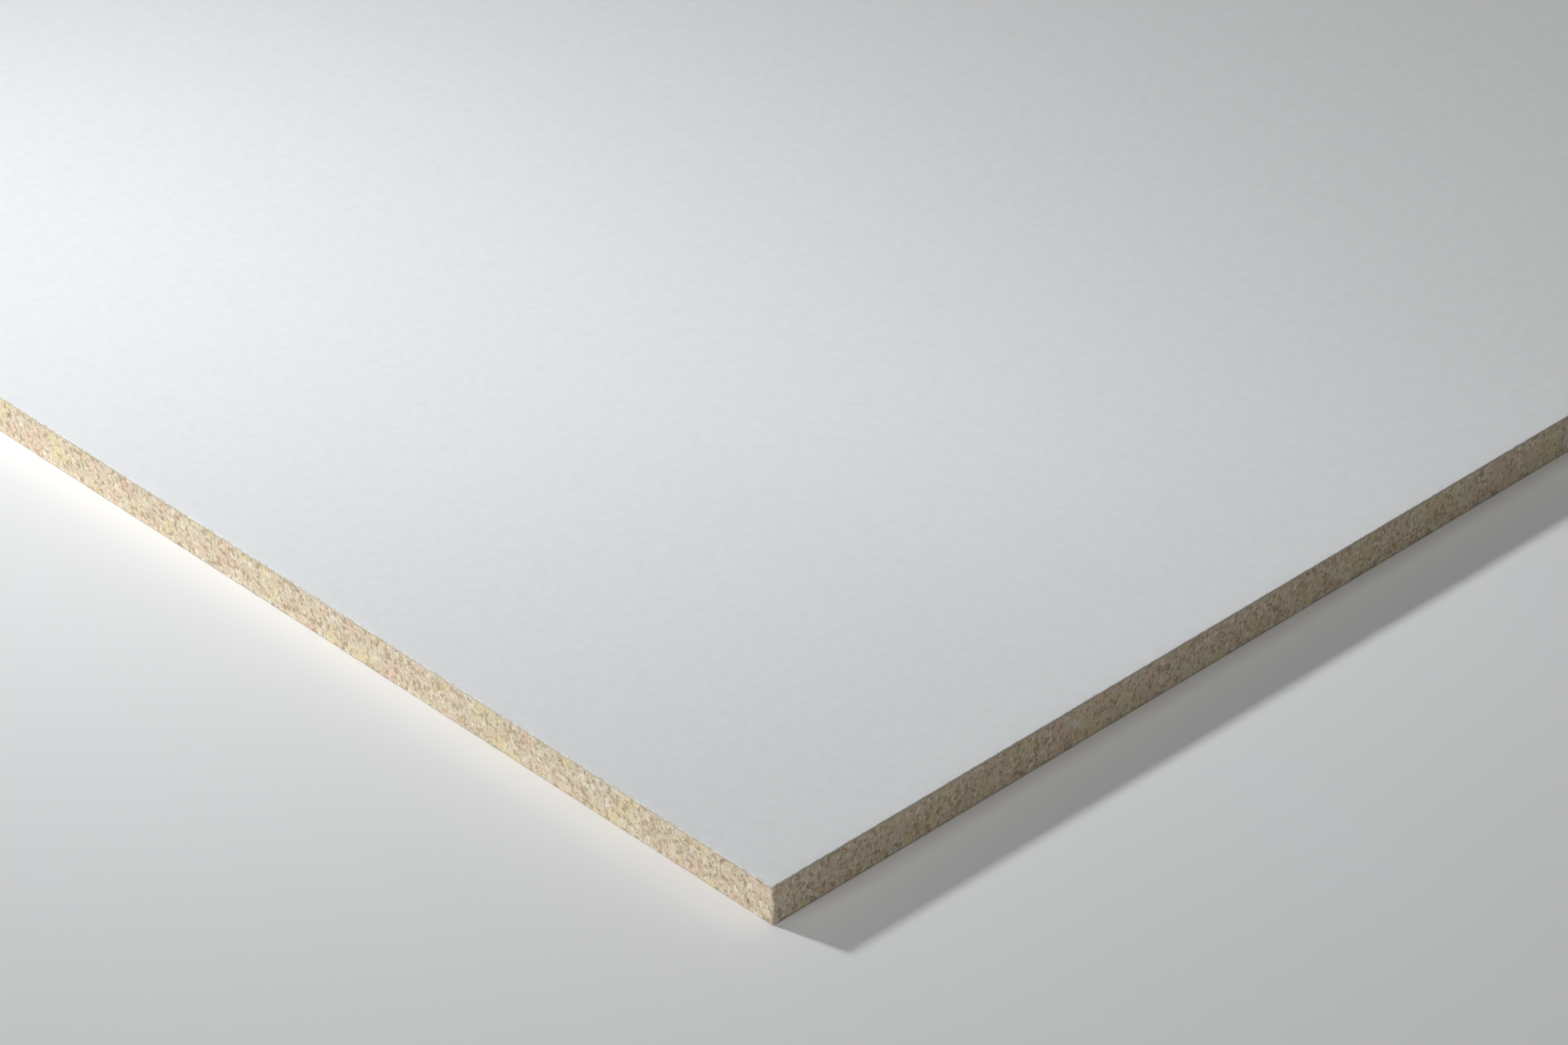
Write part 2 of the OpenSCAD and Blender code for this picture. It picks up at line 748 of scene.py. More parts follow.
@dataclass(frozen=True, kw_only=True)
class Finish:
    """A matt finish, as the base of every other.

    Attributes:
        name: the material's name.
        roughness: how matt it is.
        reflectance: the shader's specular level.
        bump: depth of its finest relief.
        bump_strength: how much of that relief shows.
    """

    name: str
    roughness: float
    reflectance: float
    bump: float = 0.0
    bump_strength: float = 0.0

    def sheet(self) -> tuple[Material, Wiring, Node]:
        """Starts the material.

        Returns:
            The material, its wiring and its shader.
        """
        material = bpy.data.materials.new(self.name)
        material.use_nodes = True
        shader = material.node_tree.nodes["Principled BSDF"]
        shader.inputs["Roughness"].default_value = self.roughness
        shader.inputs["Specular IOR Level"].default_value = self.reflectance
        return material, Wiring(material.node_tree), shader

    def paint(self, wiring: Wiring, shader: Node, colour: Feed, height: Feed) -> None:
        """Gives the shader its colour and its finest relief.

        Args:
            wiring: the material's wiring.
            shader: its shader.
            colour: the colour.
            height: the height of the surface, as a share of the relief's depth.
        """
        wiring.feed(shader.inputs["Base Color"], colour)
        relief = wiring.node("ShaderNodeBump", {"Height": height})
        relief.inputs["Strength"].default_value = self.bump_strength
        relief.inputs["Distance"].default_value = self.bump
        wiring.feed(shader.inputs["Normal"], relief.outputs["Normal"])


@dataclass(frozen=True, kw_only=True)
class RawFibreFinish(Finish):
    """Raw mineral fibre: crumbly and cream where it is sawn, pressed smooth on the back.

    Attributes:
        half_size: half of the board's size along each axis.
        shade: colour of the darker grains.
        light: colour of the lighter grains.
        rosy: colour that some patches lean to.
        straw: colour that other patches lean to.
        pale: colour of the light grains of perlite.
        pore_shade: painted shade, the deep brown put inside the pores, which the bump sinks, and in
            the saw's grooves.
        bond: colour of the glue that has soaked in under the fleece.
        pressed: colour of the pressed back.
        grain: size of a grain.
        patch: size of the rosy and the straw patches.
        rosy_tone: tone from which a patch is fully rosy.
        straw_tone: tone below which a patch is fully straw.
        patch_strength: how far a patch leans to its colour.
        pale_strength: how far a pale grain does.
        pore_strength: how far the painted shade darkens a pore.
        groove_shade_strength: how far the painted shade darkens a saw mark.
        mark_depth: depth of a saw mark, as a share of the bump.
        mark_tone: value of the wave of the saw's teeth from which a mark shows.
        pressed_grain: size of the marks in the pressed back.
        pressed_strength: how far those marks change its colour.
        tooth_pitch: distance between the marks of the saw's teeth.
        tooth_slant: how many degrees those marks lean.
        glue_depth: how far the glue has soaked in.
        glue_swing: how uneven that depth is.
        glue_wave: length of its waves.
        glue_strength: how far the glue changes the colour.
    """

    half_size: Vector
    bump: float = 0.12 * MM
    bump_strength: float = 0.7
    shade: Colour = (0.63, 0.495, 0.31)
    light: Colour = (0.975, 0.877, 0.712)
    rosy: Colour = (0.90, 0.65, 0.505)
    straw: Colour = (0.89, 0.77, 0.45)
    pale: Colour = (0.955, 0.90, 0.78)
    # Painted shade: this deep brown stands in for the shade inside the pores and the saw's grooves.
    pore_shade: Colour = (0.30, 0.19, 0.085)
    bond: Colour = (0.63, 0.58, 0.495)
    pressed: Colour = (0.70, 0.65, 0.55)
    grain: float = 2.3 * MM
    patch: float = 12.0 * MM
    rosy_tone: float = 0.68
    straw_tone: float = 0.34
    patch_strength: float = 0.62
    pale_strength: float = 0.5
    pore_strength: float = 0.55
    groove_shade_strength: float = 0.10
    mark_depth: float = 0.2
    mark_tone: float = 0.55
    pressed_grain: float = 2.6 * MM
    pressed_strength: float = 0.35
    tooth_pitch: float = 1.1 * MM
    tooth_slant: float = 8.0
    glue_depth: float = 0.9 * MM
    glue_swing: float = 1.2 * MM
    glue_wave: float = 1.4 * MM
    glue_strength: float = 0.8

    def material(self) -> Material:
        """Wires the finish.

        Returns:
            The material.
        """
        material, wiring, shader = self.sheet()
        place = wiring.place()
        sawn = wiring.group(
            crumb_effect(), place=place, grain_size=self.grain, pale_share=0.2, pore_share=0.2
        )
        marks = self.saw_marks(wiring, place)
        colour = wiring.blend(sawn["Tone"], opaque(self.shade), opaque(self.light))
        patch = wiring.group(mottle_effect(), place=place, patch_size=self.patch)["Tone"]
        for tone, hue in ((self.rosy_tone, self.rosy), (self.straw_tone, self.straw)):
            mask = wiring.span(patch, MIDDLE, tone, 0.0, self.patch_strength)
            colour = wiring.blend(mask, colour, opaque(hue))
        colour = wiring.tint(colour, sawn["Pale"], self.pale_strength, self.pale)
        # Painted shade: the pores, which the bump sinks, are darkened towards a deep brown.
        colour = wiring.tint(colour, sawn["Pores"], self.pore_strength, self.pore_shade)
        # Painted shade: the saw marks, which the bump scores, are darkened towards the pores'
        # brown.
        colour = wiring.tint(colour, marks, self.groove_shade_strength, self.pore_shade)
        cut = wiring.group(
            rim_effect(),
            place=place,
            half_size=tuple(self.half_size),
            width=1.6 * MM,
            raggedness=1.4 * MM,
            nick_size=1.2 * MM,
        )["Mask"]
        colour = wiring.blend(cut, self.back(wiring, place), colour)
        colour = wiring.blend(self.soaked(wiring, place), colour, opaque(self.bond))
        scored = wiring.calc("MULTIPLY", marks, self.mark_depth)
        self.paint(wiring, shader, colour, wiring.calc("SUBTRACT", sawn["Height"], scored))
        return material

    def back(self, wiring: Wiring, place: Socket) -> Socket:
        """Adds the colour of the pressed back.

        Args:
            wiring: the material's wiring.
            place: the place on the board.

        Returns:
            The colour.
        """
        marks = wiring.group(
            crumb_effect(),
            place=place,
            grain_size=self.pressed_grain,
            pale_share=0.1,
            pore_share=0.12,
        )
        strength = self.pressed_strength
        colour = wiring.tint(opaque(self.pressed), marks["Tone"], strength, self.light)
        # Painted shade: the pores of the pressed back are darkened towards the darker grain colour.
        return wiring.tint(colour, marks["Pores"], strength, self.shade)

    def soaked(self, wiring: Wiring, place: Socket) -> Socket:
        """Adds the uneven line of glue right under the fleece.

        Args:
            wiring: the material's wiring.
            place: the place on the board.

        Returns:
            The mask of the glue.
        """
        wave = wiring.noise(place, 1.0 / self.glue_wave, detail=2.0)["Fac"]
        swing = wiring.calc("MULTIPLY", wiring.calc("SUBTRACT", wave, MIDDLE), self.glue_swing)
        height = wiring.calc("ADD", wiring.axes(place)["Z"], swing)
        top = 2.0 * self.half_size.z
        return wiring.span(height, top - self.glue_depth, top, 0.0, self.glue_strength)

    def saw_marks(self, wiring: Wiring, place: Socket) -> Socket:
        """Adds the mask of the faint marks that the saw's teeth leave along every side; the bump is
        scored along it, and painted shade darkens it.

        Args:
            wiring: the material's wiring.
            place: the place on the board.

        Returns:
            The mask of the marks.
        """
        turned = wiring.node("ShaderNodeMapping", {"Vector": place})
        diagonal = -math.pi / 4
        turned.inputs["Rotation"].default_value = (0.0, math.radians(self.tooth_slant), diagonal)
        feeds = {
            "Vector": turned.outputs["Vector"],
            "Scale": math.tau / (WAVE_TURN * self.tooth_pitch),
            "Distortion": 2.5,
            "Detail": 2.0,
            "Detail Scale": 0.35,
        }
        marks = wiring.node("ShaderNodeTexWave", feeds, wave_type="BANDS", bands_direction="X")
        return wiring.span(marks.outputs["Fac"], self.mark_tone, 1.0)


@dataclass(frozen=True, kw_only=True)
class CoatedFleeceFinish(Finish):
    """White coated glass fleece, with raw board dust along its sawn rim.

    Attributes:
        half_size: half of the fleece's size along each axis.
        coating: colour of the coating.
        hollow: painted shade, the slightly darker colour given to the coating's finest hollows.
        dust: colour of the board dust in the sawn rim.
        fibre: colour of the bare glass fibre there.
        dust_grain: size of a grain of that dust.
        stipple: size of the coating's stipple.
        stipple_share: weight of the stipple in the coating's tone, beside the flecks.
        fleck: how far apart the fleece's fibres lift the coating.
        hollow_tone: tone of the deepest hollow.
        full_tone: tone from which the coating has its full colour.
    """

    half_size: Vector
    bump: float = 0.03 * MM
    bump_strength: float = 0.5
    coating: Colour = (0.864, 0.869, 0.864)
    hollow: Colour = (0.834, 0.839, 0.834)
    dust: Colour = (0.62, 0.57, 0.475)
    fibre: Colour = (0.79, 0.765, 0.70)
    dust_grain: float = 0.9 * MM
    stipple: float = 0.45 * MM
    stipple_share: float = 0.6
    fleck: float = 3.6 * MM
    hollow_tone: float = 0.55
    full_tone: float = 1.05

    def material(self) -> Material:
        """Wires the finish.

        Returns:
            The material.
        """
        material, wiring, shader = self.sheet()
        place = wiring.place()
        skin = wiring.noise(place, 1.0 / self.stipple, detail=4.0)["Fac"]
        fleck = wiring.group(mottle_effect(), place=place, patch_size=self.fleck)["Tone"]
        # Painted shade: the white darkens a little towards the hollow colour where the stipple and
        # the flecks are low; the bump follows the stipple.
        tone = wiring.calc("ADD", wiring.calc("MULTIPLY", skin, self.stipple_share), fleck)
        shown = wiring.span(tone, self.hollow_tone, self.full_tone)
        white = wiring.blend(shown, opaque(self.hollow), opaque(self.coating))
        worn = wiring.group(
            rim_effect(),
            place=place,
            half_size=tuple(self.half_size),
            width=0.3 * MM,
            raggedness=2.0 * MM,
            nick_size=1.7 * MM,
        )["Mask"]
        dust = wiring.group(
            crumb_effect(), place=place, grain_size=self.dust_grain, pale_share=0.3, pore_share=0.15
        )
        raw = wiring.blend(dust["Tone"], opaque(self.dust), opaque(self.fibre))
        self.paint(wiring, shader, wiring.blend(worn, white, raw), skin)
        return material


@dataclass(frozen=True, kw_only=True)
class StrewnFinish(Finish):
    """The finish of what is strewn over the sawn sides, each copy of a slightly other tone.

    Attributes:
        dark: colour of the darkest copies.
        light: colour of the lightest copies.
        patch: how far apart two copies differ fully.
        grain: size of the pits in a copy.
        pit_shade_share: weight of the painted shade of the pits in a copy's tone.
        dark_tone: tone of the darkest copies.
        light_tone: tone of the lightest copies.
    """

    bump: float = 0.04 * MM
    bump_strength: float = 0.6
    dark: Colour
    light: Colour
    patch: float = 1.6 * MM
    grain: float = 0.25 * MM
    pit_shade_share: float = 0.4
    dark_tone: float = 0.5
    light_tone: float = 0.9

    def material(self) -> Material:
        """Wires the finish.

        Returns:
            The material.
        """
        material, wiring, shader = self.sheet()
        place = wiring.place()
        tone = wiring.group(mottle_effect(), place=place, patch_size=self.patch)["Tone"]
        pits = wiring.group(mottle_effect(), place=place, patch_size=self.grain)["Tone"]
        # Painted shade: a copy is darker in its pits, which also drive the bump.
        mixed = wiring.calc("ADD", tone, wiring.calc("MULTIPLY", pits, self.pit_shade_share))
        shown = wiring.span(mixed, self.dark_tone, self.light_tone)
        colour = wiring.blend(shown, opaque(self.dark), opaque(self.light))
        self.paint(wiring, shader, colour, pits)
        return material


@dataclass(frozen=True, kw_only=True)
class PlainFloorFinish(Finish):
    """A plain pale floor, which fades into the backdrop far from the tile.

    Attributes:
        colour: the floor's colour.
        near: how far from the tile's middle the fading starts.
        far: where it ends.
        haze: brightness of the far floor to the camera.
    """

    colour: Colour = (0.885, 0.885, 0.88)
    near: float = 0.66
    far: float = 1.1
    haze: float = 0.55

    def material(self) -> Material:
        """Wires the finish.

        Returns:
            The material.
        """
        material, wiring, shader = self.sheet()
        shader.inputs["Base Color"].default_value = opaque(self.colour)
        distance = wiring.node("ShaderNodeVectorMath", {0: wiring.place()}, operation="LENGTH")
        away = wiring.span(distance.outputs["Value"], self.near, self.far)
        glow = wiring.node("ShaderNodeEmission")
        glow.inputs["Color"].default_value = opaque((self.haze,) * 3)
        mask = wiring.calc("MULTIPLY", away, wiring.seen_directly())
        wiring.cover(mask, shader.outputs["BSDF"], glow.outputs["Emission"])
        return material


# ---- Cutting and scattering with geometry nodes ----

class Draw(Enum):
    """The random draws of a copy, each with its own place after the seed."""

    SIZE = 1
    ROLL = 2
    PITCH = 3
    TURN = 4


def new_process(name: str) -> Wiring:
    """Starts a geometry node tree that takes a mesh and gives one back."""
    return new_group(name, "GeometryNodeTree", {"Geometry": "Geometry"}, {"Geometry": "Geometry"})


def run_process(wiring: Wiring, piece: Piece) -> None:
    """Runs a geometry node tree on a piece, and applies it.

    Args:
        wiring: the tree's wiring.
        piece: the piece.
    """
    process = piece.modifiers.new(wiring.tree.name, "NODES")
    process.node_group = wiring.tree
    apply_modifier(piece, process)
    bpy.data.node_groups.remove(wiring.tree)


@dataclass(frozen=True)
class FlushTrim:
    """Trims all that stands proud of a layer's six planes, as the saw and the press do.

    Attributes:
        low: the layer's lowest corner.
        high: the layer's highest corner.
    """

    low: Vector
    high: Vector

    def wire(self, wiring: Wiring, mesh: Socket) -> Socket:
        """Adds the trim to a geometry node tree.

        Args:
            wiring: the tree's wiring.
            mesh: the mesh to trim.

        Returns:
            The trimmed mesh.
        """
        place = wiring.node("GeometryNodeInputPosition").outputs["Position"]
        held = wiring.vector("MAXIMUM", place, tuple(self.low))
        held = wiring.vector("MINIMUM", held, tuple(self.high))
        feeds = {"Geometry": mesh, "Position": held}
        return wiring.node("GeometryNodeSetPosition", feeds).outputs["Geometry"]

    def cut(self, piece: Piece) -> None:
        """Trims a piece.

        Args:
            piece: the piece.
        """
        wiring = new_process("flush_trim")
        wiring.feed(wiring.made["Geometry"], self.wire(wiring, wiring.given["Geometry"]))
        run_process(wiring, piece)


@dataclass(frozen=True)
class Strewing:
    """How copies of one small shape are strewn over a board's sawn sides and trimmed flush.

    Attributes:
        density: copies on a square metre.
        smallest: scale of the smallest copy.
        largest: scale of the largest copy.
        sink: how far a copy's middle lies under the surface, as a share of its scale.
        slant: how many degrees a copy that lies flat turns either way; 180 lets it roll too.
        margin: how far from the upper and the lower arris the copies stay.
        hollow: how far behind the saw's plane the surface has to lie to take a copy.
        seed: where the random draws start.
        rarity: power that makes large copies rarer than small ones.
        side_normal: upright part of a normal, below which its face counts as a side.
    """

    density: float
    smallest: float
    largest: float
    sink: float
    slant: float
    margin: float
    hollow: float
    seed: int
    rarity: float = 2.0
    side_normal: float = 0.7

    def strew(self, piece: Piece, board: Piece, trim: FlushTrim) -> None:
        """Strews copies of a piece over a board, and makes the piece of them.

        Args:
            piece: the shape to copy, one metre long at its origin.
            board: the board that carries the copies.
            trim: the planes that the copies are trimmed to.
        """
        wiring = new_process("strewing")
        host = wiring.node("GeometryNodeObjectInfo", {"Object": board}, transform_space="ORIGINAL")
        points = wiring.node(
            "GeometryNodeDistributePointsOnFaces",
            {
                "Mesh": host.outputs["Geometry"],
                "Selection": self._takes_copies(wiring, trim),
                "Density": self.density,
                "Seed": self.seed,
            },
            distribute_method="RANDOM",
        ).outputs
        drawn = wiring.calc("POWER", self._draw(wiring, 0.0, 1.0, Draw.SIZE), self.rarity)
        size = wiring.calc("MULTIPLY", drawn, self.largest - self.smallest)
        size = wiring.calc("ADD", size, self.smallest)
        inward = wiring.scaled(points["Normal"], wiring.calc("MULTIPLY", size, -self.sink))
        feeds = {"Geometry": points["Points"], "Offset": inward}
        sunk = wiring.node("GeometryNodeSetPosition", feeds)
        copies = wiring.node(
            "GeometryNodeInstanceOnPoints",
            {
                "Points": sunk.outputs["Geometry"],
                "Instance": wiring.given["Geometry"],
                "Rotation": self._turn(wiring, points["Normal"]),
                "Scale": size,
            },
        )
        feeds = {"Geometry": copies.outputs["Instances"]}
        solid = wiring.node("GeometryNodeRealizeInstances", feeds)
        wiring.feed(wiring.made["Geometry"], trim.wire(wiring, solid.outputs["Geometry"]))
        run_process(wiring, piece)

    def _draw(self, wiring: Wiring, low: float, high: float, draw: Draw) -> Socket:
        """Draws a random number for each copy.

        Args:
            wiring: the tree's wiring.
            low: the least it may be.
            high: the most it may be.
            draw: which of the copy's draws this is.

        Returns:
            The number.
        """
        node = wiring.node("FunctionNodeRandomValue", data_type="FLOAT")
        live = [socket for socket in node.inputs if socket.enabled]
        for socket, value in zip(live, (low, high)):
            socket.default_value = value
        node.inputs["Seed"].default_value = self.seed + draw.value
        return next(socket for socket in node.outputs if socket.enabled)

    def _turn(self, wiring: Wiring, normal: Socket) -> Socket:
        """Lays each copy flat on its side of the board, level along it, and then turns it.

        Args:
            wiring: the tree's wiring.
            normal: the surface's normal where the copy lies.

        Returns:
            The copy's turn.
        """
        slant = math.radians(self.slant)
        roll = slant if slant > math.pi / 2 else 0.0
        outward = wiring.vector("FLOOR", wiring.vector("ADD", normal, (MIDDLE,) * 3))
        along = wiring.vector("CROSS_PRODUCT", UP, outward)
        lying = wiring.node("FunctionNodeAlignRotationToVector", {"Vector": along}, axis="X")
        feeds = {"Rotation": lying.outputs["Rotation"], "Vector": outward}
        facing = wiring.node(
            "FunctionNodeAlignRotationToVector", feeds, axis="Z", pivot_axis="X"
        )
        swings = {"X": (roll, Draw.ROLL), "Y": (roll, Draw.PITCH), "Z": (slant, Draw.TURN)}
        drawn = {
            axis: self._draw(wiring, -most, most, draw) for axis, (most, draw) in swings.items()
        }
        angles = wiring.node("ShaderNodeCombineXYZ", drawn).outputs["Vector"]
        feeds = {"Rotation": facing.outputs["Rotation"], "Rotate By": angles}
        turned = wiring.node("FunctionNodeRotateRotation", feeds, rotation_space="LOCAL")
        return turned.outputs["Rotation"]

    def _takes_copies(self, wiring: Wiring, trim: FlushTrim) -> Socket:
        """Picks the hollows of the sawn sides, clear of the arrises.

        Args:
            wiring: the tree's wiring.
            trim: the layer's planes.

        Returns:
            Whether a face takes copies.
        """
        reach = (trim.high - trim.low) / 2
        place = wiring.node("GeometryNodeInputPosition").outputs["Position"]
        beyond = wiring.vector("SUBTRACT", place, tuple((trim.low + trim.high) / 2))
        folded = wiring.vector("ABSOLUTE", beyond)
        room = wiring.axes(wiring.vector("SUBTRACT", tuple(reach), folded))
        nearest = wiring.calc("MINIMUM", room["X"], room["Y"])
        hollow = wiring.calc("GREATER_THAN", nearest, self.hollow)
        clear = wiring.calc("GREATER_THAN", room["Z"], self.margin)
        normal = wiring.axes(wiring.node("GeometryNodeInputNormal").outputs["Normal"])
        upright = wiring.calc("LESS_THAN", wiring.calc("ABSOLUTE", normal["Z"]), self.side_normal)
        return wiring.calc("MULTIPLY", upright, wiring.calc("MULTIPLY", hollow, clear))


# ---- The tile's own pieces ----

def coat(piece: Piece, material: Material) -> None:
    """Makes a material the only one of a piece."""
    piece.data.materials.clear()
    piece.data.materials.append(material)


@dataclass
class Layer:
    """One of the tile's two layers, sawn in one cut with the other.

    Attributes:
        low: lowest corner of the layer.
        high: highest corner of the layer.
        corner_radius: radius of its upright corners.
    """

    low: Vector
    high: Vector
    corner_radius: float = 0.8 * MM

    def carve(self, slab: SawnSlab, reliefs: tuple[Relief, ...], crease: float) -> Piece:
        """Models the layer, and carves it behind its planes.

        Args:
            slab: the slab that it is cut from.
            reliefs: what is carved into it.
            crease: the angle in degrees from which an arris stays sharp.

        Returns:
            The carved piece.
        """
        piece = slab.build()
        for relief in reliefs:
            relief.carve(piece)
        FlushTrim(self.low, self.high).cut(piece)
        smooth(piece, crease)
        return piece


@dataclass
class MineralBoard(Layer):
    """The pressed board, raw on its back and on its four sawn sides.

    Attributes:
        back_arris: easing of the arris round its back.
        hidden_arris: easing under the fleece, which only keeps the mesh closed there.
    """

    back_arris: float = 0.4 * MM
    hidden_arris: float = 0.02 * MM

    def build(self) -> Piece:
        """Models the board.

        Returns:
            The carved piece.
        """
        slab = SawnSlab(
            name="raw_fibre_board",
            low=self.low,
            high=self.high,
            corner_radius=self.corner_radius,
            low_arris=self.back_arris,
            high_arris=self.hidden_arris,
            rows=19,
            low_cells=60,
            high_cells=24,
        )
        return self.carve(slab, self.reliefs(), crease=60.0)

    def reliefs(self) -> tuple[Relief, ...]:
        """Returns the reliefs of the sawn sides, the two arrises and the pressed back."""
        return (
            Relief(Zone.SAWN_SIDES, Grain.CLOUDS, size=45.0 * MM, depth=0.10 * MM),
            Relief(Zone.SAWN_SIDES, Grain.CLOUDS, size=2.2 * MM, depth=0.20 * MM, contrast=1.6),
            Relief(Zone.SAWN_SIDES, Grain.CELLS, size=1.7 * MM, depth=0.14 * MM),
            Relief(Zone.HIGH_ARRIS, Grain.CLOUDS, size=2.2 * MM, depth=0.08 * MM),
            Relief(Zone.LOW_ARRIS, Grain.CLOUDS, size=1.8 * MM, depth=0.20 * MM, contrast=1.8),
            Relief(Zone.LOWER_FACE, Grain.CLOUDS, size=26.0 * MM, depth=0.1 * MM, direction="Z"),
        )

    def dress(self, piece: Piece) -> None:
        """Gives the board its finish and its body, and hides the imported part that it stands for.

        Args:
            piece: the board.
        """
        finish = RawFibreFinish(
            name="raw_mineral_fibre",
            roughness=0.95,
            reflectance=0.2,
            half_size=(self.high - self.low) / 2,
        )
        coat(piece, finish.material())
        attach(piece, BODY)
        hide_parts(BOARD_NODE)


@dataclass
class Inlay:
    """What the saw has laid bare in the board's four sides.

    Attributes:
        board: the finished board that it lies in.
        trim: the board's planes.
    """

    board: Piece
    trim: FlushTrim


@dataclass
class PerliteGranules(Inlay):
    """The pale grains of expanded perlite.

    Attributes:
        proportions: a grain's sizes along its own axes.
        chips: a point and an outward way for each flat that is cut off a grain.
    """

    proportions: Place = (1.0, 0.84, 0.72)
    chips: tuple[tuple[Place, Place], ...] = (
        ((0.3, 0.1, 0.0), (1.0, 0.35, 0.2)),
        ((-0.2, 0.2, 0.05), (-0.4, 1.0, 0.3)),
    )

    def build(self) -> Piece:
        """Models one grain, and strews it over the sawn sides.

        Returns:
            The piece that holds every grain.
        """
        bpy.ops.object.select_all(action="DESELECT")
        bpy.ops.mesh.primitive_ico_sphere_add(subdivisions=1, radius=0.5)
        piece = start_piece("perlite_granules")
        with editing(piece):
            bpy.ops.mesh.select_all(action="SELECT")
            bpy.ops.transform.resize(value=self.proportions, center_override=ORIGIN)
            for point, way in self.chips:
                bpy.ops.mesh.select_all(action="SELECT")
                bpy.ops.mesh.bisect(plane_co=point, plane_no=way, use_fill=True, clear_outer=True)
        settle_order(piece)
        Strewing(
            density=125000.0,
            smallest=0.40 * MM,
            largest=1.5 * MM,
            sink=0.28,
            slant=180.0,
            margin=0.7 * MM,
            hollow=0.0,
            seed=11,
        ).strew(piece, self.board, self.trim)
        return piece

    def dress(self, piece: Piece) -> None:
        """Gives the grains their finish and their body.

        Args:
            piece: the grains.
        """
        finish = StrewnFinish(
            name="pale_perlite",
            roughness=0.9,
            reflectance=0.2,
            dark=(0.76, 0.68, 0.52),
            light=(0.92, 0.87, 0.75),
        )
        coat(piece, finish.material())
        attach(piece, BODY)


@dataclass
class WoolFibres(Inlay):
    """The short ends of mineral wool, mostly level.

    Attributes:
        thickness: a fibre's radius, as a share of its length.
        bends: where a fibre is bent, and how far what lies beyond it moves aside.
        lift: how far it moves up for each metre aside.
        tip: how far from the middle a fibre's tips start.
        taper: how much thinner the tips are.
    """

    thickness: float = 0.026
    bends: tuple[tuple[float, float], ...] = ((-0.22, 0.10), (0.0, 0.15), (0.22, 0.10))
    lift: float = 0.15
    tip: float = 0.4
    taper: float = 0.5

    def build(self) -> Piece:
        """Models one fibre, and strews it over the sawn sides.

        Returns:
            The piece that holds every fibre.
        """
        bpy.ops.object.select_all(action="DESELECT")
        bpy.ops.mesh.primitive_cylinder_add(
            vertices=4, radius=self.thickness, depth=1.0, rotation=(0.0, math.pi / 2, 0.0)
        )
        piece = start_piece("wool_fibres")
        with editing(piece):
            for place, aside in self.bends:
                bpy.ops.mesh.select_all(action="SELECT")
                bpy.ops.mesh.bisect(plane_co=(place, 0.0, 0.0), plane_no=(1.0, 0.0, 0.0))
                bpy.ops.transform.translate(value=(0.0, aside, self.lift * aside))
            pick(piece, Element.VERT, lambda vert: abs(vert.co.x) > self.tip)
            bpy.ops.transform.resize(value=(1.0, self.taper, self.taper), center_override=ORIGIN)
        settle_order(piece)
        Strewing(
            density=110000.0,
            smallest=1.4 * MM,
            largest=4.2 * MM,
            sink=0.0,
            slant=38.0,
            margin=1.6 * MM,
            hollow=0.14 * MM,
            seed=29,
        ).strew(piece, self.board, self.trim)
        return piece

    def dress(self, piece: Piece) -> None:
        """Gives the fibres their finish and their body.

        Args:
            piece: the fibres.
        """
        finish = StrewnFinish(
            name="mineral_wool",
            roughness=0.7,
            reflectance=0.4,
            dark=(0.67, 0.555, 0.37),
            light=(0.85, 0.78, 0.63),
            patch=3.0 * MM,
        )
        coat(piece, finish.material())
        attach(piece, BODY)


@dataclass
class FaceFleece(Layer):
    """The white coated fleece, bonded over the board and sawn flush with it.

    Attributes:
        face_arris: easing of the arris round the visible face.
        bond_arris: easing at the bond, which only keeps the mesh closed there.
    """

    face_arris: float = 0.15 * MM
    bond_arris: float = 0.02 * MM

    def build(self) -> Piece:
        """Models the fleece.

        Returns:
            The carved piece.
        """
        slab = SawnSlab(
            name="coated_face_fleece",
            low=self.low,
            high=self.high,
            corner_radius=self.corner_radius,
            low_arris=self.bond_arris,
            high_arris=self.face_arris,
            rim=0.25 * MM,
            rows=1,
            low_cells=24,
            high_cells=224,
        )
        return self.carve(slab, self.reliefs(), crease=25.0)

    def reliefs(self) -> tuple[Relief, ...]:
        """Returns the reliefs of the visible face and of the sawn rim."""
        return (
            Relief(Zone.UPPER_FACE, Grain.CLOUDS, size=38.0 * MM, depth=0.014 * MM, direction="Z"),
            Relief(Zone.UPPER_FACE, Grain.CLOUDS, size=9.0 * MM, depth=0.008 * MM, direction="Z"),
            Relief(Zone.HIGH_ARRIS, Grain.CLOUDS, size=1.8 * MM, depth=0.07 * MM, contrast=1.6),
            Relief(Zone.LOW_ARRIS, Grain.CLOUDS, size=2.2 * MM, depth=0.08 * MM),
        )

    def dress(self, piece: Piece) -> None:
        """Gives the fleece its finish and its body, and hides the imported part that it stands for.

        Args:
            piece: the fleece.
        """
        finish = CoatedFleeceFinish(
            name="white_coated_fleece",
            roughness=0.85,
            reflectance=0.3,
            half_size=(self.high - self.low) / 2,
        )
        coat(piece, finish.material())
        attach(piece, BODY)
        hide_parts(FLEECE_NODE)


# ---- Studio ----

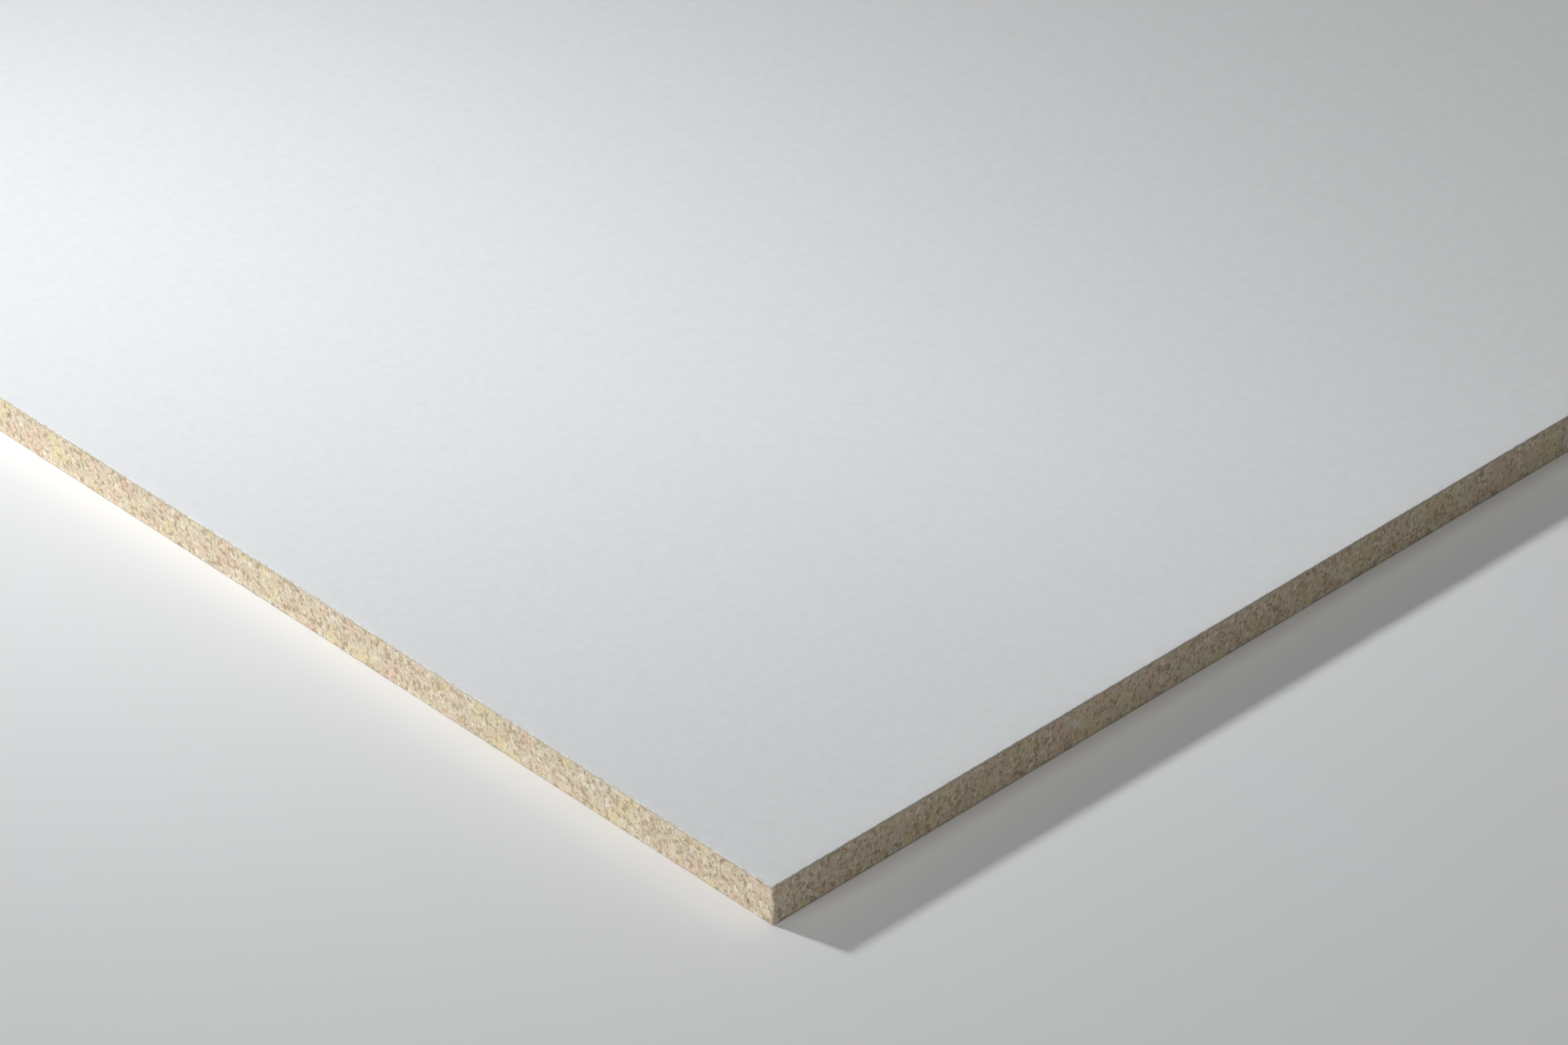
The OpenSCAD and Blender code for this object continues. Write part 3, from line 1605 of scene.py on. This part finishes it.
@dataclass(frozen=True)
class Softbox:
    """A rectangular lamp that is aimed at the tile.

    Attributes:
        name: the lamp's name.
        place: where it hangs, from the middle of the tile.
        aim: what it points at, from the middle of the tile.
        size: its width and height.
        power: its power in watts.
        spread: how many degrees its grid lets the light spread.
        colour: its colour.
    """

    name: str
    place: Vector
    aim: Vector
    size: tuple[float, float]
    power: float
    spread: float = 180.0
    colour: Colour = (1.0, 1.0, 1.0)

    def hang(self, centre: Vector) -> None:
        """Makes the lamp.

        Args:
            centre: the middle of the tile.
        """
        turn = (self.aim - self.place).to_track_quat("-Z", "Y").to_euler()
        bpy.ops.object.light_add(type="AREA", location=centre + self.place, rotation=turn)
        lamp = bpy.context.object
        lamp.name = self.name
        lamp.data.shape = "RECTANGLE"
        lamp.data.size, lamp.data.size_y = self.size
        lamp.data.energy = self.power
        lamp.data.spread = math.radians(self.spread)
        lamp.data.color = self.colour
        lamp.visible_camera = False


@dataclass(frozen=True)
class Viewpoint:
    """Where the camera stands and how it is held.

    Attributes:
        azimuth: degrees round the tile, from looking along +Y.
        elevation: degrees above the floor.
        roll: degrees that the camera leans over to the right.
        lens: focal length in millimetres.
        distance: how far the camera stands from what it aims at.
        aim: what it aims at on the face, from the tile's near corner.
    """

    azimuth: float = 46.971
    elevation: float = 34.601
    roll: float = 0.924
    lens: float = 153.06
    distance: float = 2.1706
    aim: tuple[float, float] = (-0.1379, 0.1360)

    def place(self, near_corner: Vector) -> None:
        """Makes the camera.

        Args:
            near_corner: the corner of the visible face that is nearest to the camera.
        """
        azimuth = math.radians(self.azimuth)
        above = math.radians(self.elevation)
        level = Vector((math.sin(azimuth), -math.cos(azimuth), 0.0)) * math.cos(above)
        back = level + Vector((0.0, 0.0, math.sin(above)))
        target = near_corner + Vector((*self.aim, 0.0))
        bpy.ops.object.camera_add(location=target + back * self.distance)
        camera = bpy.context.object
        camera.name = "camera"
        camera.rotation_mode = "QUATERNION"
        lean = Quaternion(UP, -math.radians(self.roll))
        camera.rotation_quaternion = (-back).to_track_quat("-Z", "Y") @ lean
        camera.data.lens = self.lens
        bpy.context.scene.camera = camera


@dataclass
class Studio:
    """The floor, the lamps, the backdrop and the camera round the tile.

    Attributes:
        low: lowest corner of the tile.
        high: highest corner of the tile.
        floor_size: length of the floor's sides.
        wash_ring: radius of the ring of lamps over the floor.
        wash_height: how high that ring hangs.
        wash_size: length of the sides of each of its lamps.
        wash_spread: how many degrees their grids let the light spread.
        wash_colour: their colour.
        wash_powers: power of each of them, from +X round to +Y and on.
        fill: colour of the weak light from all round.
        backdrop: colour of what shows above the floor.
    """

    low: Vector
    high: Vector
    floor_size: float = 60.0
    wash_ring: float = 1.2
    wash_height: float = 1.3
    wash_size: float = 0.9
    wash_spread: float = 75.0
    wash_colour: Colour = (0.99, 1.0, 0.995)
    wash_powers: tuple[float, ...] = (0.40, 0.66, 1.44, 1.39, 1.48, 0.82, 0.13, 0.28)
    fill: Colour = (0.006, 0.0055, 0.005)
    backdrop: Colour = (0.84, 0.845, 0.85)

    def softboxes(self) -> tuple[Softbox, ...]:
        """Returns a small low key, and two broad lamps that soften it."""
        return (
            Softbox(
                name="key",
                place=Vector((-0.7211, -0.5603, 0.5856)),
                aim=Vector((0.2, -0.05, 0.0)),
                size=(0.10, 0.09),
                power=1.49,
                spread=65.0,
                colour=(0.982, 1.0, 1.035),
            ),
            Softbox(
                name="front",
                place=Vector((0.42, -1.5, 0.62)),
                aim=Vector((0.05, -0.05, 0.0)),
                size=(0.9, 0.4),
                power=7.0,
                colour=(0.99, 1.0, 1.005),
            ),
            Softbox(
                name="top",
                place=Vector((0.0, 0.0, 2.0)),
                aim=Vector(ORIGIN),
                size=(1.4, 1.4),
                power=5.7,
                colour=(0.98, 1.0, 1.01),
            ),
        )

    def wash(self, number: int, power: float) -> Softbox:
        """Returns one lamp of the ring that points straight down and evens out the floor.

        Args:
            number: its place in the ring.
            power: its power in watts.

        Returns:
            The lamp.
        """
        angle = math.tau / len(self.wash_powers) * number
        out = Vector((math.cos(angle), math.sin(angle), 0.0)) * self.wash_ring
        return Softbox(
            name=f"wash_{number}",
            place=out + Vector((0.0, 0.0, self.wash_height)),
            aim=out,
            size=(self.wash_size, self.wash_size),
            power=power,
            spread=self.wash_spread,
            colour=self.wash_colour,
        )

    def lay_floor(self) -> None:
        """Lays the plain floor under the tile."""
        bpy.ops.mesh.primitive_plane_add(size=self.floor_size, location=(0.0, 0.0, self.low.z))
        floor = start_piece("floor")
        finish = PlainFloorFinish(name="plain_floor", roughness=0.9, reflectance=0.0)
        coat(floor, finish.material())

    def light(self) -> None:
        """Hangs the lamps and sets the backdrop and the fill."""
        washes = [self.wash(number, power) for number, power in enumerate(self.wash_powers)]
        for softbox in (*self.softboxes(), *washes):
            softbox.hang((self.low + self.high) / 2)
        world = bpy.data.worlds.new("studio")
        world.use_nodes = True
        bpy.context.scene.world = world
        wiring = Wiring(world.node_tree)
        shown = world.node_tree.nodes["Background"]
        shown.inputs["Color"].default_value = opaque(self.backdrop)
        fill = wiring.node("ShaderNodeBackground")
        fill.inputs["Color"].default_value = opaque(self.fill)
        mask = wiring.seen_directly()
        wiring.cover(mask, fill.outputs["Background"], shown.outputs["Background"])

    def set_up(self) -> None:
        """Makes the whole studio, with a camera that looks past the tile's near corner."""
        self.lay_floor()
        self.light()
        Viewpoint().place(Vector((self.high.x, self.low.y, self.high.z)))
        bpy.context.scene.view_settings.view_transform = "Standard"


def report(piece: Piece) -> None:
    """Logs what a piece is made of."""
    sizes = " x ".join(f"{size:.4f}" for size in piece.dimensions)
    log.info("%s: %d triangles, %s m", piece.name, triangle_count(piece), sizes)


def main() -> None:
    """Builds the tile's pieces in order, and the studio round them."""
    logging.basicConfig(level=logging.INFO, format="%(name)s: %(message)s")
    board = MineralBoard(*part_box(BOARD_NODE))
    trim = FlushTrim(board.low, board.high)
    body = board.build()
    board.dress(body)
    report(body)
    fleece = FaceFleece(*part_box(FLEECE_NODE))
    for part in (PerliteGranules(body, trim), WoolFibres(body, trim), fleece):
        piece = part.build()
        part.dress(piece)
        report(piece)
    Studio(*CAD_BOX).set_up()


if __name__ == "__main__":
    main()
